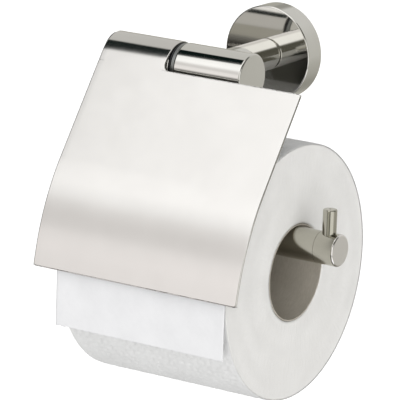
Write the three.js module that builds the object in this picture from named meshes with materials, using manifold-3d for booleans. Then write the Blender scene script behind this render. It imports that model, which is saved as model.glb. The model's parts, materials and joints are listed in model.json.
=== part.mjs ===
// Wall-mounted toilet paper holder with a hinged cover flap and a paper roll.
// Millimetres. +X is to the right along the spindle, -Y is out from the wall, +Z is up.
// The origin is the centre of the wall plate's back face, which lies on the wall.
import * as THREE from 'three';
import { mergeVertices } from 'three/addons/utils/BufferGeometryUtils.js';
import Module from 'manifold-3d';

// ---------------------------------------------------------------- driving dimensions
const GAP = 0.3; // clearance between two pieces that seat on each other
const OVER = 1; // how far a cutting tool reaches past the faces that it cuts
const MERGE_DISTANCE = 1e-4; // points closer than this become one
const FACETS = { large: 96, wide: 64, middle: 48, small: 40, fine: 32, tiny: 24, hexagon: 6 };
const BEND_FACETS = 10;
const CORNER_FACETS = 6;

const WALL_TO_TUBE = 65.5; // wall to the hinge axis
const HINGE_TO_SPINDLE = 77.1; // hinge axis down to the spindle axis

const ROSETTE_DIAMETER = 48.8;
const ROSETTE_DEPTH = 12.2;
const ROSETTE_FRONT_WALL = 3;
const ROSETTE_RIM_WALL = 4.5;
const ROSETTE_CHAMFER = 0.6;

const PLATE_THICKNESS = 7;
const PLATE_GROOVE_DEPTH = 0.9; // V groove that the grub screw bites
const PLATE_POCKET_FLOOR = 2.5; // metal left behind the bolt head's pocket
const WALL_SCREW_SPACING = 26.4;
const WALL_SCREW_HOLE = 4.6;
const WALL_SCREW_HEAD = 8.4;

const GRUB_DIAMETER = 4;
const GRUB_RECESS = 0.8;
const GRUB_POINT = 1.7; // length of the cone point
const GRUB_SOCKET = 1.8; // across flats
const GRUB_SOCKET_DEPTH = 1.3;

const BOLT_DIAMETER = 8;
const BOLT_HEAD_DIAMETER = 13;
const BOLT_HEAD_HEIGHT = 4.2;
const BOLT_LENGTH = 17;
const BOLT_SOCKET = 6; // across flats
const BOLT_SOCKET_DEPTH = 2.1;
const BOLT_HEAD_ROOM = 1; // air round the bolt's head in the wall plate's pocket

const ARM_DIAMETER = 16;
const ARM_NECK_DEPTH = 0.8; // shadow gap where the arm meets the rosette
const ARM_NECK_LENGTH = 0.6;
const ARM_CHAMFER = 0.4;

const TUBE_DIAMETER = 24.2;
const TUBE_WALL = 1.5;
const TUBE_REACH_RIGHT = 25.3; // arm axis to the tube's closed right end
const TUBE_END_WALL = 2;
const TUBE_CHAMFER = 0.9; // closed right end
const TUBE_SEAM_CHAMFER = 0.5; // open left end, beside the hinge

const SHEET_THICKNESS = 1.2; // the cover flap's stainless sheet
const COVER_LEFT = -54.2;
const COVER_WIDTH = 117.4;
const BARREL_LENGTH = 38; // hinge barrel, from the flap's left edge
const BARREL_PROUD = 0.3; // the barrel stands this far outside the fixed tube
const RUN_OFF_RADIUS = 18.3; // wider curve on which the sheet leaves the barrel
const RUN_OFF_ANGLE = 37.8; // degrees
const PANEL_LENGTH = 62; // from the hinge axis along the flat upper panel to the bend
const BEND_LENGTH = 47.6;
const BEND_ANGLE = 23; // degrees
const TAIL_LENGTH = 8; // flat strip below the bend
const NOTCH_DEPTH = 8.6; // from the hinge axis along the panel to the notch edge
const NOTCH_CORNER = 3.5;
const FLAP_CORNER = 1.7;
const FLAP_TOP_CORNER = 1.6;

const AXLE_DIAMETER = 10;
const BUSH_LENGTH = 8;
const WASHER_THICKNESS = 0.6;
const WASHER_STEP = 0.6; // the washers are this much smaller in radius than the barrel
const PLUG_FLANGE = 1.8; // visible steel ring between the barrel and the fixed tube
const PLUG_FLANGE_STEP = 0.3; // the ring is this much smaller in radius than the tube
const PLUG_LENGTH = 14; // length inside the fixed tube
const PLUG_END_WALL = 1.4;

const LEG_THICKNESS = 3;
const LEG_TOP_WIDTH = 12;
const TENON_SIZE = 6; // square tenon that keeps the leg from turning
const TENON_LENGTH = 1.2;
const LEG_SCREW_DIAMETER = 4;
const LEG_SCREW_HEAD = 7.4;
const LEG_SCREW_LENGTH = 12;
const LEG_SCREW_SOCKET = 2.5; // across flats
const LEG_SCREW_SUNK = 0.1; // the screw's head below the leg's face

const SPINDLE_DIAMETER = 16;
const SPINDLE_WALL = 1.5;
const SPINDLE_END = 79; // free right end of the spindle
const SPINDLE_FOOT_FLANGE = 2;
const SPINDLE_FOOT_LENGTH = 14;
const TIP_LENGTH = 10.8;
const TIP_SPIGOT = 12;
const TIP_CHAMFER = 0.9;

const PIN_DIAMETER = 7;
const PIN_HEIGHT = 11.8; // above the spindle's crown
const PIN_SEAT = 11.7; // depth of the pin in the tip
const PIN_FROM_END = 6.7;
const PIN_CHAMFER = 0.7;
const PIN_CENTRE_MARK = 0.6;

const ROLL_DIAMETER = 127.6;
const ROLL_WIDTH = 97;
const ROLL_LEFT = -42.1;
const ROLL_EDGE = 0.8;
const CORE_BORE = 47;
const CORE_WALL = 0.7;
const CORE_INSET = 0.4;
const FLAP_ON_ROLL = 0.4; // air between the closed flap and the roll

const LOOSE_SHEET_THICKNESS = 0.5;
const LOOSE_SHEET_LAP = 3; // start of the free sheet above the roll's front line
const LOOSE_SHEET_BELOW_FLAP = 28.7;

// ---------------------------------------------------------------- derived places
const tubeRadius = TUBE_DIAMETER / 2;
const barrelRadius = tubeRadius + BARREL_PROUD;
const barrelBore = barrelRadius - SHEET_THICKNESS;
const tubeBore = tubeRadius - TUBE_WALL;
const axleRadius = AXLE_DIAMETER / 2;
const armRadius = ARM_DIAMETER / 2;
const spindleRadius = SPINDLE_DIAMETER / 2;
const spindleBore = spindleRadius - SPINDLE_WALL;
const rollRadius = ROLL_DIAMETER / 2;
const coreRadius = CORE_BORE / 2;

const hingeAxis = { y: -WALL_TO_TUBE, z: 0 };
const spindleAxis = { y: -WALL_TO_TUBE, z: -HINGE_TO_SPINDLE };
// The core hangs with its crown on the spindle.
const rollAxis = { y: spindleAxis.y, z: spindleAxis.z + spindleRadius + GAP - coreRadius };

// Stack of hinge pieces along X, from the barrel outwards.
const barrelRight = COVER_LEFT + BARREL_LENGTH;
const washerRight = barrelRight + GAP;
const flangeLeft = washerRight + WASHER_THICKNESS + GAP;
const flangeRight = flangeLeft + PLUG_FLANGE;
const tubeLeft = flangeRight + GAP;
const plugEnd = tubeLeft + PLUG_LENGTH;
const axleRight = plugEnd - PLUG_END_WALL - GAP;
const washerLeft = COVER_LEFT - GAP - WASHER_THICKNESS;
const axleLeft = washerLeft;
const legRight = axleLeft - GAP;
const legLeft = legRight - LEG_THICKNESS;
const coverRight = COVER_LEFT + COVER_WIDTH;
const rollRight = ROLL_LEFT + ROLL_WIDTH;

// The flap leans out from straight down by the angle at which its bend rests on the roll.
const runOffAngle = THREE.MathUtils.degToRad(RUN_OFF_ANGLE);
const runOffOffset = RUN_OFF_RADIUS - barrelRadius; // between the two curves' centres
const panelOffset = RUN_OFF_RADIUS - runOffOffset * Math.cos(runOffAngle);
const bendAngle = THREE.MathUtils.degToRad(BEND_ANGLE);
const bendRadius = BEND_LENGTH / bendAngle;
const rollDrop = hingeAxis.z - rollAxis.z;
const bendCentreDistance = Math.hypot(bendRadius - panelOffset, PANEL_LENGTH);
const centresApart = bendRadius - SHEET_THICKNESS - rollRadius - FLAP_ON_ROLL;
const betweenCentres = Math.acos(
  (rollDrop ** 2 + bendCentreDistance ** 2 - centresApart ** 2) / (2 * rollDrop * bendCentreDistance),
);
const flapLean = Math.atan2(bendRadius - panelOffset, PANEL_LENGTH) - betweenCentres;

// ---------------------------------------------------------------- solid helpers
const wasm = await Module();
wasm.setup();

/** Closed geometry with shared vertices and its faces pointing out. */
function closed(geometry) {
  const bare = geometry.clone();
  bare.deleteAttribute('normal');
  bare.deleteAttribute('uv');
  const merged = mergeVertices(bare, MERGE_DISTANCE);
  const { array } = merged.attributes.position;
  const index = [];
  for (let i = 0; i < merged.index.count; i += 3) {
    const [a, b, c] = [0, 1, 2].map((k) => merged.index.getX(i + k));
    if (a !== b && b !== c && c !== a) index.push(a, b, c);
  }
  const corner = (v) => new THREE.Vector3().fromArray(array, 3 * v);
  let volume = 0;
  for (let i = 0; i < index.length; i += 3) {
    const [a, b, c] = [corner(index[i]), corner(index[i + 1]), corner(index[i + 2])];
    volume += a.dot(b.cross(c));
  }
  if (volume < 0) index.reverse();
  merged.setIndex(index);
  return merged;
}

/** manifold-3d solid of a closed geometry. */
function solid(geometry) {
  const shape = closed(geometry);
  const vertProperties = new Float32Array(shape.attributes.position.array);
  const triVerts = new Uint32Array(shape.index.array);
  return new wasm.Manifold(new wasm.Mesh({ numProp: 3, vertProperties, triVerts }));
}

/** Geometry of a manifold-3d solid. */
function geometryOf(body) {
  const { vertProperties, triVerts } = body.getMesh();
  const geometry = new THREE.BufferGeometry();
  geometry.setAttribute('position', new THREE.BufferAttribute(vertProperties, 3));
  geometry.setIndex(new THREE.BufferAttribute(triVerts, 1));
  return geometry;
}

/** A geometry with other geometries cut out of it. */
function cut(geometry, ...tools) {
  return geometryOf(tools.reduce((body, tool) => body.subtract(solid(tool)), solid(geometry)));
}

/** A geometry with other geometries joined to it. */
function join(geometry, ...others) {
  return geometryOf(others.reduce((body, other) => body.add(solid(other)), solid(geometry)));
}

/** Revolved about Y: the profile lists [radius, y]. */
function turnedY(profile, segments = FACETS.middle) {
  return new THREE.LatheGeometry(profile.map(([r, y]) => new THREE.Vector2(r, y)), segments);
}

/** Revolved about the line through (y, z) along X: the profile lists [radius, x]. */
function turnedX(profile, axis, segments = FACETS.middle) {
  return turnedY(profile, segments).rotateZ(-Math.PI / 2).translate(0, axis.y, axis.z);
}

/** Revolved about Z: the profile lists [radius, z]. */
function turnedZ(profile, segments = FACETS.fine) {
  return turnedY(profile, segments).rotateX(Math.PI / 2);
}

/** Profile of a plain cylinder between two heights. */
function cylinder(radius, low, high) {
  return [[0, low], [radius, low], [radius, high], [0, high]];
}

/** Closed profile of a ring between two heights. */
function ring(bore, radius, low, high) {
  return [[bore, low], [radius, low], [radius, high], [bore, high], [bore, low]];
}

/** Shape drawn in Y and Z, extruded along X. */
function extrudedX(shape, low, high, curveSegments = FACETS.tiny) {
  const axes = new THREE.Matrix4().makeBasis(
    new THREE.Vector3(0, 1, 0), new THREE.Vector3(0, 0, 1), new THREE.Vector3(1, 0, 0));
  const options = { depth: high - low, bevelEnabled: false, curveSegments };
  return new THREE.ExtrudeGeometry(shape, options).applyMatrix4(axes).translate(low, 0, 0);
}

/** Profile of a hexagonal socket bit, for a turned tool of six facets. */
function hexagon(acrossFlats, low, high) {
  return cylinder(acrossFlats / Math.sqrt(3), low, high);
}

// ---------------------------------------------------------------- wall fixing
const plateRadius = ROSETTE_DIAMETER / 2 - ROSETTE_RIM_WALL - GAP;

function wallPlate() {
  const middle = -PLATE_THICKNESS / 2;
  const pocket = BOLT_HEAD_DIAMETER / 2 + BOLT_HEAD_ROOM;
  const disc = turnedY([
    [0, 0],
    [plateRadius, 0],
    [plateRadius, middle + PLATE_GROOVE_DEPTH],
    [plateRadius - PLATE_GROOVE_DEPTH, middle],
    [plateRadius, middle - PLATE_GROOVE_DEPTH],
    [plateRadius, -PLATE_THICKNESS],
    [pocket, -PLATE_THICKNESS],
    [pocket, -PLATE_POCKET_FLOOR],
    [0, -PLATE_POCKET_FLOOR],
  ], FACETS.wide);
  // Countersunk holes for two wall screws, above and below the pocket.
  const sink = (WALL_SCREW_HEAD - WALL_SCREW_HOLE) / 2;
  const holes = [1, -1].map((side) => turnedY([
    [0, OVER],
    [WALL_SCREW_HOLE / 2, OVER],
    [WALL_SCREW_HOLE / 2, -PLATE_THICKNESS + sink],
    [WALL_SCREW_HEAD / 2 + OVER, -PLATE_THICKNESS - OVER],
    [0, -PLATE_THICKNESS - OVER],
  ], FACETS.tiny).translate(0, 0, side * WALL_SCREW_SPACING / 2));
  return cut(disc, ...holes);
}

const grubPlace = { y: -PLATE_THICKNESS / 2, z: -ROSETTE_DIAMETER / 2 };

function rosette() {
  const radius = ROSETTE_DIAMETER / 2;
  const recess = radius - ROSETTE_RIM_WALL;
  const hole = BOLT_DIAMETER / 2 + GAP;
  const cup = turnedY([
    [recess, 0],
    [radius, 0],
    [radius, -ROSETTE_DEPTH + ROSETTE_CHAMFER],
    [radius - ROSETTE_CHAMFER, -ROSETTE_DEPTH],
    [hole, -ROSETTE_DEPTH],
    [hole, -ROSETTE_DEPTH + ROSETTE_FRONT_WALL],
    [recess, -ROSETTE_DEPTH + ROSETTE_FRONT_WALL],
    [recess, 0],
  ], FACETS.large);
  // Tapped hole for the grub screw, through the lowest point of the rim.
  const grubHole = turnedZ(
    cylinder(GRUB_DIAMETER / 2 + GAP, -OVER, ROSETTE_RIM_WALL + OVER), FACETS.tiny,
  ).translate(0, grubPlace.y, grubPlace.z);
  return cut(cup, grubHole);
}

function rosetteGrubScrew() {
  const radius = GRUB_DIAMETER / 2;
  const point = ROSETTE_RIM_WALL + PLATE_GROOVE_DEPTH; // rim's outside to the groove's bottom
  const blank = turnedZ([
    [0, GRUB_RECESS],
    [radius, GRUB_RECESS],
    [radius, point - GRUB_POINT],
    [0, point],
  ], FACETS.tiny);
  const socket = turnedZ(
    hexagon(GRUB_SOCKET, GRUB_RECESS - OVER, GRUB_RECESS + GRUB_SOCKET_DEPTH), FACETS.hexagon,
  );
  return cut(blank, socket).translate(0, grubPlace.y, grubPlace.z);
}

const boltSeat = -ROSETTE_DEPTH + ROSETTE_FRONT_WALL + GAP;
const boltTip = boltSeat - BOLT_LENGTH;

function armBolt() {
  const head = BOLT_HEAD_DIAMETER / 2;
  const shank = BOLT_DIAMETER / 2;
  const top = boltSeat + BOLT_HEAD_HEIGHT;
  const blank = turnedY([
    [0, top],
    [head, top],
    [head, boltSeat],
    [shank, boltSeat],
    [shank, boltTip],
    [0, boltTip],
  ], FACETS.fine);
  const socket = hexagon(BOLT_SOCKET, top - BOLT_SOCKET_DEPTH, top + OVER);
  return cut(blank, turnedY(socket, FACETS.hexagon));
}

// ---------------------------------------------------------------- arm and fixed tube
function arm() {
  const back = -ROSETTE_DEPTH - GAP;
  const neck = armRadius - ARM_NECK_DEPTH;
  const shoulder = back - ARM_NECK_LENGTH;
  const bore = BOLT_DIAMETER / 2 + GAP;
  const bar = turnedY([
    [bore, back],
    [neck, back],
    [neck, shoulder],
    [armRadius - ARM_CHAMFER, shoulder],
    [armRadius, shoulder - ARM_CHAMFER],
    [armRadius, hingeAxis.y],
    [0, hingeAxis.y],
    [0, boltTip - GAP],
    [bore, boltTip - GAP],
    [bore, back],
  ], FACETS.wide);
  // The front end is coped to the tube that it is welded to.
  const cope = turnedX(
    cylinder(tubeRadius + GAP, -ARM_DIAMETER, ARM_DIAMETER), hingeAxis, FACETS.large,
  );
  return cut(bar, cope);
}

function topTube() {
  const right = TUBE_REACH_RIGHT;
  const left = tubeLeft;
  return turnedX([
    [0, right - TUBE_END_WALL],
    [tubeBore, right - TUBE_END_WALL],
    [tubeBore, left],
    [tubeRadius - TUBE_SEAM_CHAMFER, left],
    [tubeRadius, left + TUBE_SEAM_CHAMFER],
    [tubeRadius, right - TUBE_CHAMFER],
    [tubeRadius - TUBE_CHAMFER, right],
    [0, right],
  ], hingeAxis, FACETS.large);
}

// ---------------------------------------------------------------- hinge
function axlePlug() {
  const bore = axleRadius + GAP;
  const body = tubeBore - GAP;
  const flange = tubeRadius - PLUG_FLANGE_STEP;
  return turnedX([
    [0, axleRight + GAP],
    [bore, axleRight + GAP],
    [bore, flangeLeft],
    [flange, flangeLeft],
    [flange, flangeRight],
    [body, flangeRight],
    [body, plugEnd],
    [0, plugEnd],
  ], hingeAxis, FACETS.wide);
}

/** Bored blank for the tapped end of the axle and of the spindle's foot. */
function tenoned(blank, axis) {
  const tenonEnd = axleLeft - TENON_LENGTH;
  const tenon = new THREE.BoxGeometry(TENON_LENGTH + OVER, TENON_SIZE, TENON_SIZE)
    .translate(tenonEnd + (TENON_LENGTH + OVER) / 2, axis.y, axis.z);
  const hole = cylinder(
    LEG_SCREW_DIAMETER / 2 + GAP, tenonEnd - OVER, legLeft + LEG_SCREW_LENGTH + GAP,
  );
  return cut(join(blank, tenon), turnedX(hole, axis, FACETS.tiny));
}

function hingeAxle() {
  const bar = turnedX(cylinder(axleRadius, axleLeft, axleRight), hingeAxis, FACETS.small);
  return tenoned(bar, hingeAxis);
}

function hingeWasher(left) {
  const bore = axleRadius + GAP;
  const radius = barrelRadius - WASHER_STEP;
  return turnedX(ring(bore, radius, left, left + WASHER_THICKNESS), hingeAxis, FACETS.small);
}

function hingeBush(left) {
  const bore = axleRadius + GAP;
  const radius = barrelBore - GAP;
  return turnedX(ring(bore, radius, left, left + BUSH_LENGTH), hingeAxis, FACETS.small);
}

// ---------------------------------------------------------------- cover flap
const flapDown = { y: -Math.sin(flapLean), z: -Math.cos(flapLean) }; // along the upper panel
const flapOut = { y: -Math.cos(flapLean), z: Math.sin(flapLean) }; // away from the roll

/** Point of the flap's section: along the upper panel from the axis, and out of its face. */
function onPanel(along, out) {
  return new THREE.Vector2(
    hingeAxis.y + flapDown.y * along + flapOut.y * (panelOffset + out),
    hingeAxis.z + flapDown.z * along + flapOut.z * (panelOffset + out),
  );
}

/** Bend and tail of one face of the sheet; out is 0 on the outside and -thickness inside. */
function bendAndTail(out) {
  const points = [];
  const radius = bendRadius + out;
  for (let i = 0; i <= BEND_FACETS; i += 1) {
    const turn = (bendAngle * i) / BEND_FACETS;
    points.push(onPanel(PANEL_LENGTH + radius * Math.sin(turn), radius * Math.cos(turn) - bendRadius));
  }
  points.push(onPanel(
    PANEL_LENGTH + radius * Math.sin(bendAngle) + TAIL_LENGTH * Math.cos(bendAngle),
    radius * Math.cos(bendAngle) - TAIL_LENGTH * Math.sin(bendAngle) - bendRadius,
  ));
  return points;
}

const tailInside = bendAndTail(-SHEET_THICKNESS).at(-1);
const tailOutside = bendAndTail(0).at(-1);

/** Section of the flap: a full barrel with the sheet leaving it on a wider curve. */
function flapSection() {
  const outside = bendAndTail(0);
  const inside = bendAndTail(-SHEET_THICKNESS);
  const innerRadius = RUN_OFF_RADIUS - SHEET_THICKNESS;
  const centre = onPanel(runOffOffset * Math.sin(runOffAngle), -RUN_OFF_RADIUS);
  const flat = Math.PI - flapLean; // direction square to the flat panel
  const join = flat - runOffAngle; // direction in which the two curves touch
  // The inner face meets the barrel's round where their two circles cross.
  const crossing = (far, near, sign) => Math.acos(
    sign * (far ** 2 - runOffOffset ** 2 - near ** 2) / (2 * runOffOffset * near),
  );
  const onBarrel = join + crossing(innerRadius, barrelRadius, 1);
  const onRunOff = join + crossing(barrelRadius, innerRadius, -1);
  const section = new THREE.Shape([...outside].reverse());
  section.absarc(centre.x, centre.y, RUN_OFF_RADIUS, flat, join, true);
  section.absarc(hingeAxis.y, hingeAxis.z, barrelRadius, join, onBarrel - 2 * Math.PI, true);
  section.absarc(centre.x, centre.y, innerRadius, onRunOff, flat, false);
  inside.forEach((point) => section.lineTo(point.x, point.y));
  const bore = new THREE.Path();
  bore.absarc(hingeAxis.y, hingeAxis.z, barrelBore, 0, 2 * Math.PI, false);
  section.holes.push(bore);
  return section;
}

/** Prism square to a stretch of the flap: shape in X and along, from outside it to a depth. */
function throughFlap(shape, lean, start, depth = SHEET_THICKNESS) {
  const axes = new THREE.Matrix4().makeBasis(
    new THREE.Vector3(1, 0, 0),
    new THREE.Vector3(0, -Math.sin(lean), -Math.cos(lean)),
    new THREE.Vector3(0, Math.cos(lean), -Math.sin(lean)),
  );
  axes.setPosition(0, start.x, start.y);
  const options = { depth: depth + 2 * OVER, bevelEnabled: false, curveSegments: CORNER_FACETS };
  return new THREE.ExtrudeGeometry(shape, options).translate(0, 0, -OVER).applyMatrix4(axes);
}

/** Sharp corner less its round, for rounding the corner at (x, along). */
function cornerWaste(x, along, radius, sideX, sideAlong) {
  const centreX = x - sideX * radius;
  const centreAlong = along - sideAlong * radius;
  const waste = new THREE.Shape();
  waste.moveTo(x + sideX * OVER, centreAlong);
  waste.lineTo(x + sideX * OVER, along + sideAlong * OVER);
  waste.lineTo(centreX, along + sideAlong * OVER);
  waste.lineTo(centreX, along);
  for (let i = 1; i <= CORNER_FACETS; i += 1) {
    const turn = (Math.PI / 2) * (i / CORNER_FACETS);
    waste.lineTo(
      centreX + sideX * radius * Math.sin(turn),
      centreAlong + sideAlong * radius * Math.cos(turn),
    );
  }
  return waste;
}

function coverFlap() {
  const blank = extrudedX(flapSection(), COVER_LEFT, coverRight, FACETS.fine);
  const panelStart = onPanel(0, 0);
  const tailLean = flapLean - bendAngle;
  // Notch that leaves the fixed tube bare, with a round inner corner at the barrel.
  const pastBarrel = panelOffset + barrelRadius;
  const notch = new THREE.Shape();
  notch.moveTo(barrelRight, -pastBarrel);
  notch.lineTo(coverRight + OVER, -pastBarrel);
  notch.lineTo(coverRight + OVER, NOTCH_DEPTH);
  notch.lineTo(barrelRight + NOTCH_CORNER, NOTCH_DEPTH);
  notch.absarc(barrelRight + NOTCH_CORNER, NOTCH_DEPTH - NOTCH_CORNER, NOTCH_CORNER,
    Math.PI / 2, Math.PI, false);
  const tubeRoom = turnedX(
    cylinder(barrelRadius + GAP, barrelRight, coverRight + OVER), hingeAxis, FACETS.wide);
  const topCorner = cornerWaste(coverRight, NOTCH_DEPTH, FLAP_TOP_CORNER, 1, -1);
  const rightCorner = cornerWaste(coverRight, 0, FLAP_CORNER, 1, 1);
  const leftCorner = cornerWaste(COVER_LEFT, 0, FLAP_CORNER, -1, 1);
  return cut(
    blank,
    throughFlap(notch, flapLean, panelStart, pastBarrel),
    tubeRoom,
    throughFlap(topCorner, flapLean, panelStart),
    throughFlap(rightCorner, tailLean, tailOutside),
    throughFlap(leftCorner, tailLean, tailOutside),
  );
}

// ---------------------------------------------------------------- leg and spindle
/** Tapered strip between the hinge axle and the spindle, round at both ends. */
function supportLeg() {
  const top = LEG_TOP_WIDTH / 2;
  const bottom = spindleRadius;
  const flare = Math.asin((bottom - top) / HINGE_TO_SPINDLE);
  const strip = new THREE.Shape();
  strip.absarc(hingeAxis.y, hingeAxis.z, top, -flare, Math.PI + flare, false);
  strip.absarc(spindleAxis.y, spindleAxis.z, bottom, Math.PI + flare, 2 * Math.PI - flare, false);
  const sinkBottom = LEG_SCREW_HEAD / 2 - LEG_SCREW_DIAMETER / 2;
  const pocket = TENON_SIZE + 2 * GAP;
  const tools = [hingeAxis, spindleAxis].flatMap((axis) => [
    new THREE.BoxGeometry(2 * TENON_LENGTH, pocket, pocket).translate(legRight, axis.y, axis.z),
    turnedX([
      [0, legLeft - OVER],
      [LEG_SCREW_HEAD / 2 + GAP + OVER, legLeft - OVER],
      [LEG_SCREW_DIAMETER / 2 + GAP, legLeft + sinkBottom],
      [LEG_SCREW_DIAMETER / 2 + GAP, legRight + OVER],
      [0, legRight + OVER],
    ], axis, FACETS.tiny),
  ]);
  return cut(extrudedX(strip, legLeft, legRight), ...tools);
}

function legScrew(axis) {
  const head = LEG_SCREW_HEAD / 2;
  const shank = LEG_SCREW_DIAMETER / 2;
  const face = legLeft + LEG_SCREW_SUNK;
  const blank = turnedX([
    [0, face],
    [head, face],
    [shank, face + head - shank],
    [shank, legLeft + LEG_SCREW_LENGTH],
    [0, legLeft + LEG_SCREW_LENGTH],
  ], axis, FACETS.tiny);
  const socket = hexagon(LEG_SCREW_SOCKET, face - OVER, face + head - shank);
  return cut(blank, turnedX(socket, axis, FACETS.hexagon));
}

const footLeft = axleLeft;
const spindleTubeLeft = footLeft + SPINDLE_FOOT_FLANGE + GAP;
const tipLeft = SPINDLE_END - TIP_LENGTH;
const plugRadius = spindleBore - GAP;

function spindleFoot() {
  const flangeEnd = footLeft + SPINDLE_FOOT_FLANGE;
  const blank = turnedX([
    [0, footLeft],
    [spindleRadius, footLeft],
    [spindleRadius, flangeEnd],
    [plugRadius, flangeEnd],
    [plugRadius, flangeEnd + SPINDLE_FOOT_LENGTH],
    [0, flangeEnd + SPINDLE_FOOT_LENGTH],
  ], spindleAxis);
  return tenoned(blank, spindleAxis);
}

function spindleTube() {
  const profile = ring(spindleBore, spindleRadius, spindleTubeLeft, tipLeft - GAP);
  return turnedX(profile, spindleAxis, FACETS.wide);
}

function spindleTip() {
  const blank = turnedX([
    [0, tipLeft - TIP_SPIGOT],
    [plugRadius, tipLeft - TIP_SPIGOT],
    [plugRadius, tipLeft],
    [spindleRadius, tipLeft],
    [spindleRadius, SPINDLE_END - TIP_CHAMFER],
    [spindleRadius - TIP_CHAMFER, SPINDLE_END],
    [0, SPINDLE_END],
  ], spindleAxis, FACETS.wide);
  const seat = turnedZ(cylinder(PIN_DIAMETER / 2 + GAP, -PIN_SEAT - GAP, OVER))
    .translate(SPINDLE_END - PIN_FROM_END, spindleAxis.y, spindleAxis.z + spindleRadius);
  return cut(blank, seat);
}

function stopPin() {
  const radius = PIN_DIAMETER / 2;
  return turnedZ([
    [0, -PIN_SEAT],
    [radius, -PIN_SEAT],
    [radius, PIN_HEIGHT - PIN_CHAMFER],
    [radius - PIN_CHAMFER, PIN_HEIGHT],
    [PIN_CENTRE_MARK, PIN_HEIGHT],
    [0, PIN_HEIGHT - PIN_CENTRE_MARK],
  ], FACETS.small).translate(SPINDLE_END - PIN_FROM_END, spindleAxis.y, spindleAxis.z + spindleRadius);
}

// ---------------------------------------------------------------- paper
function rollCore() {
  const left = ROLL_LEFT + CORE_INSET;
  const right = rollRight - CORE_INSET;
  return turnedX(ring(coreRadius, coreRadius + CORE_WALL, left, right), rollAxis, FACETS.wide);
}

function paperRoll() {
  const bore = coreRadius + CORE_WALL + GAP;
  return turnedX([
    [bore, ROLL_LEFT],
    [rollRadius - ROLL_EDGE, ROLL_LEFT],
    [rollRadius, ROLL_LEFT + ROLL_EDGE],
    [rollRadius, rollRight - ROLL_EDGE],
    [rollRadius - ROLL_EDGE, rollRight],
    [bore, rollRight],
    [bore, ROLL_LEFT],
  ], rollAxis, FACETS.large);
}

/** The roll's free end: it leaves the roll at its front line and hangs straight down. */
function looseSheet() {
  const back = rollAxis.y - rollRadius - GAP;
  const top = rollAxis.z + LOOSE_SHEET_LAP;
  const bottom = tailInside.y - LOOSE_SHEET_BELOW_FLAP;
  return new THREE.BoxGeometry(ROLL_WIDTH, LOOSE_SHEET_THICKNESS, top - bottom)
    .translate(ROLL_LEFT + ROLL_WIDTH / 2, back - LOOSE_SHEET_THICKNESS / 2, (top + bottom) / 2);
}

// ---------------------------------------------------------------- assembly
const material = (color, roughness, metalness) =>
  new THREE.MeshStandardMaterial({ color, roughness, metalness });
const polishedSteel = material('#b5b3ae', 0.08, 1);
const brightSheet = material('#e4e2dd', 0.14, 1);
const turnedSteel = material('#a8a59f', 0.3, 1);
const plateSteel = material('#8f8f8c', 0.5, 1);
const nylon = material('#3a3b3c', 0.6, 0);
const tissue = material('#f1f1f2', 0.95, 0);
const cardboard = material('#8f8578', 0.9, 0);

const holder = new THREE.Group();

function add(name, geometry, finish) {
  const mesh = new THREE.Mesh(closed(geometry), finish);
  mesh.name = name;
  holder.add(mesh);
}

add('wall_plate', wallPlate(), plateSteel);
add('rosette', rosette(), polishedSteel);
add('rosette_grub_screw', rosetteGrubScrew(), turnedSteel);
add('arm_bolt', armBolt(), turnedSteel);
add('arm', arm(), polishedSteel);
add('top_tube', topTube(), polishedSteel);
add('axle_plug', axlePlug(), turnedSteel);
add('hinge_axle', hingeAxle(), turnedSteel);
add('hinge_washer_left', hingeWasher(washerLeft), nylon);
add('hinge_washer_right', hingeWasher(washerRight), nylon);
add('support_leg', supportLeg(), polishedSteel);
add('leg_screw_upper', legScrew(hingeAxis), turnedSteel);
add('leg_screw_lower', legScrew(spindleAxis), turnedSteel);
add('spindle_foot', spindleFoot(), polishedSteel);
add('spindle_tube', spindleTube(), polishedSteel);
add('spindle_tip', spindleTip(), polishedSteel);
add('stop_pin', stopPin(), polishedSteel);
add('cover_flap', coverFlap(), brightSheet);
add('hinge_bush_left', hingeBush(COVER_LEFT + GAP), nylon);
add('hinge_bush_right', hingeBush(barrelRight - GAP - BUSH_LENGTH), nylon);
add('roll_core', rollCore(), cardboard);
add('paper_roll', paperRoll(), tissue);
add('loose_sheet', looseSheet(), tissue);

export default holder;
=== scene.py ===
"""Toilet paper holder with a hinged cover: the looks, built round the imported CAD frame. Metres."""
import json
import math

import bmesh
import bpy
from mathutils import Matrix, Vector, noise


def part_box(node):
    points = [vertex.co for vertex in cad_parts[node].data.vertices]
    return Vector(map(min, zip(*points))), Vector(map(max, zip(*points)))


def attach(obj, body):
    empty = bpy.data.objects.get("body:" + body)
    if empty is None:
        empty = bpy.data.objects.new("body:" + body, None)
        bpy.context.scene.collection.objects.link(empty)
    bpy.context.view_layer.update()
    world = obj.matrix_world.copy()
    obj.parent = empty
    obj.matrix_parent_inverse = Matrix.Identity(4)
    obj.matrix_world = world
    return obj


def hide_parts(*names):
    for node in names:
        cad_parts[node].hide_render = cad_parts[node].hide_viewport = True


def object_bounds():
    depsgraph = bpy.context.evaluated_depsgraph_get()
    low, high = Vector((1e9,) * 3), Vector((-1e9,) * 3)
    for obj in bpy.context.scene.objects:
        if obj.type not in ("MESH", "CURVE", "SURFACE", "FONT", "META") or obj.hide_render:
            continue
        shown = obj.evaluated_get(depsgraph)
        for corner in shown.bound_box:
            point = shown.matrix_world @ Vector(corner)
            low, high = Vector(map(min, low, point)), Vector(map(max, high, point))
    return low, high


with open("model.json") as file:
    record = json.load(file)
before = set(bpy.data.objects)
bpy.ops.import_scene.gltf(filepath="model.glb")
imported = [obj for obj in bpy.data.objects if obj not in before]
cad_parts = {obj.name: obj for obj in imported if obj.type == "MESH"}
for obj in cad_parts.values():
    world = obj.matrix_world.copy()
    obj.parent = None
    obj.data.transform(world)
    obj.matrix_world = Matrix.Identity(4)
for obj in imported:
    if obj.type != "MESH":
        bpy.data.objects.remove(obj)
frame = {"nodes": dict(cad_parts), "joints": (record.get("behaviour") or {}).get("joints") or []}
cad_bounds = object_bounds()

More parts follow.
